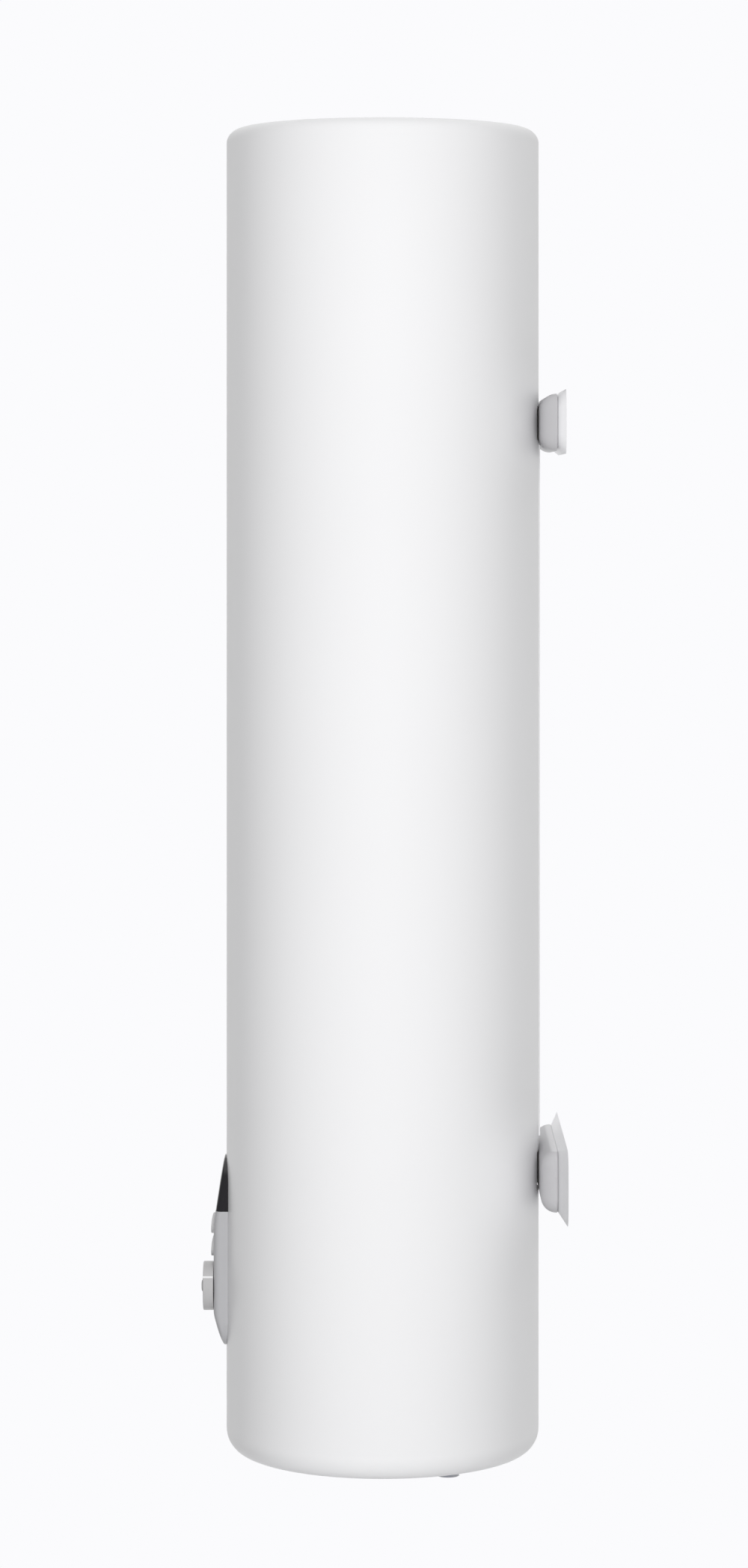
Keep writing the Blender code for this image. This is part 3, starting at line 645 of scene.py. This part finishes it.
# %% Casing sheet
SIDES = 192
SEAM_HALF = 0.004
SEAM_PROUD = 0.0014
casing = upright("casing_sheet", RADIUS, TRAY_JOINT, LID_JOINT, sides=SIDES, ends="NOTHING")
seam_low = UNDERSIDE + PANS["lower"][1] + 0.002
seam_high = UNDERSIDE + PANS["upper"][0] + 0.006
pick(casing, "FACE", lambda face: True)
for height in (seam_low, seam_high):
    slice_level(height)
pick(casing, "FACE", lambda face: abs(face.calc_center_median().x) < SEAM_HALF and face.normal.y > 0
     and seam_low < face.calc_center_median().z < seam_high)
raise_faces(SEAM_PROUD)
thicken(casing, 0.001)

# %% Slots in the casing
SLOT_IN = 0.0105                   # from a block's edge to the end of the slot behind it
STEM_SLOT = 0.025                  # half the width of a stem's slot
CONTROL_SLOT = 0.011               # half the width of the controls' slot


def casing_slot(half, side, low, high):
    """Cut a slot through the casing's front (side -1) or back (side 1)."""
    near, far = sorted((AXIS_Y + side * (RADIUS - 0.015), AXIS_Y + side * (RADIUS + 0.015)))
    cut(casing, brick("slot", (-half, near, low), (half, far, high)))


for block_low, block_high, *_ in PANS.values():
    casing_slot(STEM_SLOT, 1, UNDERSIDE + block_low + SLOT_IN, UNDERSIDE + block_high - SLOT_IN)
control_low, control_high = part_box("rotary_control")
casing_slot(CONTROL_SLOT, -1, control_low.z - 0.035, control_high.z + 0.007)
hand_over(casing, "heater", "white_enamel", enamel, "outer_casing")

# %% [markdown]
# ## Lid and tray
# Both ends are drawn with a wide rounding that isn't a true quarter circle. A bevel makes the round
# first, and squeezing or stretching its points towards the end's plane changes its depth. A skirt then
# steps in from the rim, to slip inside the casing.

# %% Rounded ends
SKIRT_IN = (RADIUS - 0.0013) / RADIUS
SKIRT_LONG = 0.009
END_WALL = 0.0012


def rounded_end(name, end, joint, reach, depth):
    """An open tube from its joint with the casing to an end whose edge is rounded: reach in, depth down."""
    rim = end + (2 * reach if joint > end else -2 * reach)
    piece = upright(name, RADIUS, min(end, rim), max(end, rim), sides=SIDES)
    pick(piece, "EDGE", on(2, end))
    round_edges(reach, 12)
    pick(piece, "VERT", lambda vert: abs(vert.co.z - end) < reach + 0.0001)
    resize((1, 1, depth / reach), (0, AXIS_Y, end))
    pick(piece, "FACE", on(2, rim))
    bpy.ops.mesh.delete(type="FACE")
    pick(piece, "VERT", on(2, rim))
    move(z=joint - rim)
    return piece


def add_skirt(piece, joint, length):
    """Step in from a rim, then run on inside the casing."""
    pick(piece, "EDGE", on(2, joint))
    extrude()
    resize((SKIRT_IN, SKIRT_IN, 1), (0, AXIS_Y, joint))
    extrude(z=length)


# %% Top lid
lid = rounded_end("top_lid", TOP, LID_JOINT, 0.016, 0.0135)
add_skirt(lid, LID_JOINT, -SKIRT_LONG)
thicken(lid, END_WALL)
hand_over(lid, "heater", "white_enamel", enamel, "top_cover")

# %% [markdown]
# The tray closes the underside. It has a rounder edge than the lid, a recess with a ledge for the
# service cover, and round holes for the two water stubs and the cable gland.

# %% Bottom tray
TRAY_REACH = 0.018
RECESS = 0.003
LEDGE = 0.012
TRAY_HOLES = {"cold_inlet_stub": 0.0155, "hot_outlet_stub": 0.0155, "cable_gland": 0.0085}
service_low, service_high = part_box("service_cover")
SERVICE_RADIUS = (service_high.x - service_low.x) / 2
RECESS_RADIUS = SERVICE_RADIUS + 0.0005
tray = rounded_end("bottom_tray", UNDERSIDE, TRAY_JOINT, TRAY_REACH, 0.021)
pick(tray, "FACE", on(2, UNDERSIDE))
inset(RADIUS - TRAY_REACH - RECESS_RADIUS)
extrude(z=RECESS)
inset(LEDGE)
bpy.ops.mesh.delete(type="FACE")
add_skirt(tray, TRAY_JOINT, SKIRT_LONG)
thicken(tray, END_WALL)
for node, hole in TRAY_HOLES.items():
    cut(tray, upright("hole", hole, UNDERSIDE - 0.01, UNDERSIDE + 0.02, middle_of(node), 48))
hand_over(tray, "heater", "white_plastic", cover_white, "bottom_cover")

# %% [markdown]
# The service cover is a round lid with a raised pad in its middle, and four pan-head screws hold it.
# One screw is modelled, with a cross cut into its head, and copied to the other three places.

# %% Service cover
PAD_STEP = 0.0009
service = upright("service_lid", SERVICE_RADIUS, service_low.z, service_high.z, sides=128)
pick(service, "EDGE", on(2, service_low.z))
round_edges(0.0007, 3)
pick(service, "FACE", on(2, service_low.z))
inset(0.0125)
inset(0.0008)
move(z=PAD_STEP)
inset(0.0015)
inset(0.0008)
move(z=-PAD_STEP)
screw_places = [middle_of(f"service_screw_{number}") for number in range(1, 5)]
for place in screw_places:
    cut(service, upright("hole", 0.0019, UNDERSIDE - 0.01, UNDERSIDE + 0.01, place, 24))
hand_over(service, "heater", "white_plastic", cover_white, "service_cover")

# %% Service screws
HEAD = 0.0014                      # the head's height
low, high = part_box("service_screw_1")
first = screw_places[0]
screw = upright("service_screw_a", 0.0036, low.z, low.z + HEAD, first, 32)
pick(screw, "EDGE", on(2, low.z))
round_edges(0.0009, 4)
pick(screw, "FACE", on(2, low.z + HEAD))
inset(0.0021)
extrude(z=high.z - low.z - HEAD)
for wide, long in ((0.0004, 0.0018), (0.0018, 0.0004)):
    cut(screw, brick("cross", (first.x - wide, first.y - long, low.z - 0.001),
                     (first.x + wide, first.y + long, low.z + 0.0008)))
for number, (letter, place) in enumerate(zip("abcd", screw_places), 1):
    shift = place - first
    twin = screw if number == 1 else copy_of(screw, f"service_screw_{letter}", shift.x, shift.y)
    hand_over(twin, "heater", "zinc_plated_steel", zinc, f"service_screw_{number}")

# %% [markdown]
# ## Water stubs, collars and gland
# Each stub ends in a half-inch pipe thread. Rings are cut into a cylinder at half the thread's pitch,
# and every second ring is drawn in, which gives the V grooves. The coloured collar round it says which
# side is cold and which is hot.

# %% Threaded stubs
PITCH = 0.0018
RINGS = 14
LEAD = 0.001                       # plain length before the first ring
GROOVE = 0.9                       # a groove's radius as a share of the stub's


def make_stub(node, name):
    low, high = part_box(node)
    middle = middle_of(node)
    stub = upright(name, (high.x - low.x) / 2, low.z, high.z, middle, 64)
    heights = [low.z + LEAD + ring * PITCH / 2 for ring in range(1, RINGS + 1)]
    pick(stub, "FACE", lambda face: True)
    for height in heights:
        slice_level(height)
    for height in heights[::2]:
        pick(stub, "VERT", on(2, height))
        resize((GROOVE, GROOVE, 1), (middle.x, middle.y, height))
    pick(stub, "FACE", on(2, low.z))
    inset(0.0004)
    move(z=-0.0003)
    let_go()
    cut(stub, upright("bore", 0.0075, low.z - 0.01, high.z + 0.01, middle, 48))
    hand_over(stub, "heater", "zinc_plated_steel", zinc, node)


make_stub("cold_inlet_stub", "cold_inlet_thread")
make_stub("hot_outlet_stub", "hot_outlet_thread")

# %% Coloured collars
LIP = 0.003 - FIT                  # the part of a collar that shows under the tray


def make_collar(node, name, slot, finish):
    low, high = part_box(node)
    middle = middle_of(node)
    collar = upright(name, (high.x - low.x) / 2, low.z, low.z + LIP, middle, 64)
    pick(collar, "EDGE", on(2, low.z))
    round_edges(0.0012, 4)
    pick(collar, "FACE", on(2, low.z + LIP))
    inset(0.0025)
    extrude(z=high.z - low.z - LIP)
    cut(collar, upright("bore", 0.0108, low.z - 0.01, high.z + 0.01, middle, 64))
    hand_over(collar, "heater", slot, finish, node)


make_collar("cold_inlet_collar", "cold_inlet_ring", "blue_plastic", blue)
make_collar("hot_outlet_collar", "hot_outlet_ring", "red_plastic", red)

# %% [markdown]
# The cable gland has a hexagonal collar against the tray and a domed cap nut with grip ribs, bored
# through for the cable.

# %% Cable gland
CAP = 0.0080                       # the cap nut's height
NECK = 0.0014                      # the neck between the cap nut and the hexagon
low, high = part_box("cable_gland")
middle = middle_of("cable_gland")
gland_radius = (high.x - low.x) / 2
gland = upright("gland_cap", gland_radius, low.z, low.z + CAP, middle, 48)
pick(gland, "EDGE", on(2, low.z))
round_edges(0.0035, 6)
pick(gland, "FACE", lambda face: abs(face.normal.z) < 0.1 and face.index % 4 < 2)
raise_faces(-0.0005)
pick(gland, "FACE", on(2, low.z + CAP))
inset(0.0008)
extrude(z=NECK)
let_go()
hexagon = upright("gland_hexagon", gland_radius, low.z + CAP + NECK, UNDERSIDE - FIT, middle, 6)
soften(hexagon, 0.0006)
cut(gland, hexagon, "UNION")
cut(gland, upright("stem", 0.0082, UNDERSIDE - 0.001, high.z, middle, 48), "UNION")
cut(gland, upright("bore", 0.0045, low.z - 0.01, high.z + 0.01, middle, 48))
hand_over(gland, "heater", "dark_plastic", dark, "cable_gland")

# %% [markdown]
# ## The control panel
# The panel is a capsule: a strip with round ends that stands proud of the tube, fullest in its middle
# and running down to nothing at its tips. A cylinder whose halves are pulled apart gives the outline, a
# bevel rounds its front edge, and one formula then lowers the front towards the tips. The grey cover and
# the smoked window are two lengths of the same shape, so that they line up at the joint.

# %% Panel sizes
window_low, window_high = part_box("panel_window")
housing_low, housing_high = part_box("panel_housing")
PANEL_LOW, PANEL_HIGH = housing_low.z, window_high.z
PANEL_MIDDLE = (PANEL_LOW + PANEL_HIGH) / 2
PANEL_RADIUS = window_high.x
PANEL_FRONT = housing_low.y
PANEL_BASE = AXIS_Y - RADIUS       # the tube's front line: the front is lowered towards this
PANEL_BACK = PANEL_BASE + 0.009    # the shell starts inside the tube, and is cut along it
PANEL_FULL = PANEL_BASE - PANEL_FRONT
PANEL_EDGE = 0.0065
JOINT_Z = (housing_high.z + window_low.z) / 2
JOINT_GAP = 0.00012                # on each side of the joint
FLAT_LOW = UNDERSIDE + 0.128       # the front starts to fall away below this height
LOWER_SLOPE = 0.267
TIP_PROUD = 0.0022                 # how far the upper tip stands off the tube
UPPER_SLOPE = 0.150
CORNER = 0.0003                    # how much the slopes' corners are softened
print("panel", round(PANEL_HIGH - PANEL_LOW, 4), "high and", round(PANEL_FULL, 4), "proud")


# %% Panel shape
def panel_proud(z):
    """How far the panel's front stands off the tube at a height: the least of three lines."""
    lower = PANEL_FULL + (z - FLAT_LOW) * LOWER_SLOPE
    upper = TIP_PROUD + (PANEL_HIGH - z) * UPPER_SLOPE
    return -CORNER * log(sum(exp(-line / CORNER) for line in (PANEL_FULL, lower, upper)))


def capsule(name):
    """A cylinder with its halves pulled apart, its front edge rounded and its back open."""
    reach = PANEL_MIDDLE - PANEL_LOW - PANEL_RADIUS
    piece = facing(name, PANEL_RADIUS, PANEL_FRONT, PANEL_BACK, PANEL_MIDDLE, sides=128)
    pick(piece, "VERT", lambda vert: vert.co.z > PANEL_MIDDLE + 0.00001)
    move(z=reach)
    pick(piece, "VERT", lambda vert: vert.co.z < PANEL_MIDDLE - 0.00001)
    move(z=-reach)
    pick(piece, "EDGE", on(1, PANEL_FRONT))
    round_edges(PANEL_EDGE, 8)
    pick(piece, "FACE", on(1, PANEL_BACK))
    bpy.ops.mesh.delete(type="FACE")
    return piece


def panel_length(name, bottom, top):
    """One length of the panel, as a shell that is open at the tube and at the joint."""
    piece = capsule(name)
    height = PANEL_LOW + 0.004
    while height < PANEL_HIGH - 0.003:
        slice_level(height)
        height += 0.0035
    shape = bmesh.from_edit_mesh(piece.data)
    for vert in shape.verts:
        if vert.co.y < PANEL_BASE:
            vert.co.y = PANEL_BASE - (PANEL_BASE - vert.co.y) / PANEL_FULL * panel_proud(vert.co.z)
    bmesh.update_edit_mesh(piece.data)
    slice_level(bottom, clear_inner=True)
    slice_level(top, clear_outer=True)
    let_go()
    thicken(piece, 0.0015)
    tube = upright("tube", RADIUS + 0.0001, PANEL_LOW - 0.02, PANEL_HIGH + 0.02, sides=SIDES)
    cut(piece, tube, folded=True)
    return piece


# %% Cover and window
KNOB_Z = middle_of("control_knob").z
KEY_Z = {label: middle_of(f"button_{label}").z for label in ("upper", "lower")}
KEY_WIDE, KEY_TALL = 0.012, 0.0095  # half the width and half the height of a button
OVAL = KEY_TALL / KEY_WIDE


def cover_hole(radius, z, sides, flat=1.0):
    cut(cover, facing("hole", radius, PANEL_FRONT - 0.01, PANEL_FRONT + 0.006, z, sides, flat))


cover = panel_length("panel_cover", PANEL_LOW - 0.01, JOINT_Z - JOINT_GAP)
cover_hole(0.0042, KNOB_Z, 48)
for z in KEY_Z.values():
    cover_hole(KEY_WIDE + FIT, z, 64, OVAL)
hand_over(cover, "heater", "light_grey_plastic", grey, "panel_housing")
window = panel_length("display_window", JOINT_Z + JOINT_GAP, PANEL_HIGH + 0.01)
hand_over(window, "heater", "dark_window_plastic", smoked, "panel_window")

# %% [markdown]
# ## Buttons
# Seen from the side each button swells forward from its top edge and ends in a sharp step at its bottom
# edge, so a fingertip finds it. An oval cylinder is inset a few times, and a quarter-ellipse formula
# brings its face forward. The flange behind the cover keeps it from falling out.

# %% Buttons
KEY_FACE = PANEL_FRONT - 0.0002    # the face before it swells
KEY_BACK = PANEL_FRONT + 0.0023
SWELL = KEY_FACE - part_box("button_upper")[0].y
upper_z = KEY_Z["upper"]
key = facing("key_upper", KEY_WIDE, KEY_FACE, KEY_BACK, upper_z, 64, OVAL)
pick(key, "FACE", on(1, KEY_BACK))
extrude(y=0.0012)
resize((1.06, 1, 1.07), (0, PANEL_FRONT, upper_z))
extrude(y=0.0004)
pick(key, "EDGE", on(1, KEY_FACE))
round_edges(0.0007, 3)
pick(key, "FACE", lambda face: on(1, KEY_FACE)(face) and len(face.verts) > 10)
for _ in range(5):
    inset(0.0014)
shape = bmesh.from_edit_mesh(key.data)
for vert in shape.verts:
    if vert.co.y < PANEL_FRONT + 0.0008:
        rise = min(1, max(0, (vert.co.z - (upper_z - KEY_TALL)) / (2 * KEY_TALL)))
        vert.co.y -= SWELL * sqrt(1 - rise ** 2)
bmesh.update_edit_mesh(key.data)
let_go()
key_lower = copy_of(key, "key_lower", z=KEY_Z["lower"] - upper_z)
hand_over(key, "upper_button", "light_grey_plastic", key_grey, "button_upper")
hand_over(key_lower, "lower_button", "light_grey_plastic", key_grey, "button_lower")

# %% [markdown]
# ## The knob
# The knob is a short drum with crisp edges and a small raised boss in the middle of its face. Behind, it
# is hollow round a hub that takes the shaft. A pale inlay runs from the face over the edge and down the
# side, so the setting shows from the side too.

# %% Knob
knob_low, knob_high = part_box("control_knob")
KNOB_RADIUS = (knob_high.x - knob_low.x) / 2
KNOB_BACK = knob_high.y
KNOB_FACE = knob_low.y + 0.002     # the boss stands on this
KNOB_WALL = 0.0018
HUB_RADIUS = 0.0062
HOLLOW = 0.0060
knob = facing("thermostat_knob", KNOB_RADIUS, KNOB_FACE, KNOB_BACK, KNOB_Z)
pick(knob, "EDGE", on(1, KNOB_FACE))
round_edges(0.0009, 4)
pick(knob, "FACE", on(1, KNOB_FACE))
inset(0.0016)
inset(0.0010)
move(y=0.0005)
inset(0.0130)
for width, forward in ((0.0004, 0.0013), (0.0008, 0.0008), (0.0014, 0.0003), (0.0018, 0.0001)):
    inset(width)
    move(y=-forward)
pick(knob, "FACE", on(1, KNOB_BACK))
inset(KNOB_WALL)
extrude(y=-HOLLOW)
inset(KNOB_RADIUS - KNOB_WALL - HUB_RADIUS)
extrude(y=HOLLOW)
inset(0.0029)
extrude(y=-0.0070)
let_go()
hand_over(knob, "knob", "light_grey_plastic", knob_grey, "control_knob")

# %% [markdown]
# The inlay is made level, with its length along the knob's side, and then turned about the knob's axis.

# %% Pointer inlay
POINTER_RISE = radians(29.7)       # above level, on the right of the face
POINTER_HALF = 0.0009
POINTER_IN = 0.0130                # how far it runs in over the face
inlay = brick("knob_pointer", (KNOB_RADIUS - 0.0006, -0.0002, -POINTER_HALF),
              (KNOB_RADIUS + 0.00008, KNOB_BACK - KNOB_FACE - 0.0002, POINTER_HALF))
pick(inlay, "FACE", lambda face: True)
bpy.ops.mesh.bisect(plane_co=(0, 0.0004, 0), plane_no=(0, 1, 0))
pick(inlay, "FACE", lambda face: face.normal.x < -0.9 and face.calc_center_median().y < 0.0004)
extrude(x=-POINTER_IN)
let_go()
soften(inlay, 0.0001, 60)
inlay.rotation_euler = (0, -POINTER_RISE, 0)
inlay.location = (0, KNOB_FACE, KNOB_Z)
use(inlay)
bpy.ops.object.transform_apply(location=True, rotation=True, scale=True)
hand_over(inlay, "knob", "light_grey_plastic", mark_white)

# %% [markdown]
# ## The wall brackets
# Each bracket is a pan pressed from thicker sheet. Its closed side bears on a stem that is welded to the
# tank. Its edges are well rounded, it narrows to a neck near the wall, and then flares out to a rim that
# lies flat on the wall. A box is bevelled into the pan, and its open rim is extruded twice for the neck
# and the flare.

# %% Bracket pans
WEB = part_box("upper_bracket")[0].y + 0.0013
PAN_HALF = 0.095
NECK_LONG = 0.0010
FLARE_LONG = 0.0073
NECK_FROM = WALL - NECK_LONG - FLARE_LONG


def make_pan(label):
    block_low, block_high, neck, drop = PANS[label]
    low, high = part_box(f"{label}_bracket")
    rim_low = low.z - drop
    bottom, top = UNDERSIDE + block_low, UNDERSIDE + block_high
    pan = brick(f"{label}_bracket_pan", (-PAN_HALF, WEB, bottom), (PAN_HALF, NECK_FROM, top))
    pick(pan, "EDGE", runs_back)
    round_edges(0.0145, 10)
    pick(pan, "EDGE", on(1, WEB))
    round_edges(0.014, 10)
    pick(pan, "FACE", on(1, NECK_FROM))
    bpy.ops.mesh.delete(type="FACE")
    pick(pan, "EDGE", on(1, NECK_FROM))
    wide, tall = 2 * PAN_HALF, top - bottom
    block_z, rim_z = (bottom + top) / 2, (rim_low + high.z) / 2
    extrude(y=NECK_LONG)
    resize((1 - 2 * neck / wide, 1, 1 - 2 * neck / tall), (0, NECK_FROM, block_z))
    extrude(y=FLARE_LONG, z=rim_z - block_z)
    resize(((high.x - low.x) / (wide - 2 * neck), 1, (high.z - rim_low) / (tall - 2 * neck)),
           (0, WALL, rim_z))
    let_go()
    thicken(pan, 0.002)
    pick(pan, "VERT", lambda vert: vert.co.y > WALL - 0.0004)
    resize((1, 0, 1), (0, WALL, 0))
    let_go()
    hand_over(pan, "heater", "white_bracket_paint", bracket_paints_and_shade[label], f"{label}_bracket")


for label in PANS:
    make_pan(label)

# %% [markdown]
# The hook plate closes each pan on the wall side. It is zinc-plated sheet with two upright slots for the
# wall hooks, and two shallow pressed grooves between them that keep it flat.

# %% Hook plates
HOOK_X = 0.057                     # from the middle to each slot, and to each groove's end
SLOT_WIDE, SLOT_TALL = 0.007, 0.012  # half of each
GROOVE_Z = 0.017
GROOVE_HALF = 0.0015


def make_plate(label):
    low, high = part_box(f"{label}_hook_plate")
    plate = brick(f"{label}_hook_strip", low, high)
    pick(plate, "EDGE", runs_back)
    round_edges(0.011, 8)
    let_go()
    middle = middle_of(f"{label}_bracket_stem").z
    for x in (-HOOK_X, HOOK_X):
        hole = brick("slot", (x - SLOT_WIDE, low.y - 0.01, middle - SLOT_TALL),
                     (x + SLOT_WIDE, high.y + 0.01, middle + SLOT_TALL))
        pick(hole, "EDGE", runs_back)
        round_edges(0.004, 5)
        let_go()
        cut(plate, hole)
    for z in (middle - GROOVE_Z, middle + GROOVE_Z):
        cut(plate, brick("groove", (-HOOK_X, high.y - 0.0005, z - GROOVE_HALF),
                         (HOOK_X, high.y + 0.001, z + GROOVE_HALF)))
    soften(plate, 0.0002)
    hand_over(plate, "heater", "zinc_plated_steel", zinc, f"{label}_hook_plate")


for label in PANS:
    make_plate(label)

# %% [markdown]
# ## The end
# The looks must stay inside the engineering model's box.

# %% Finish
let_go()
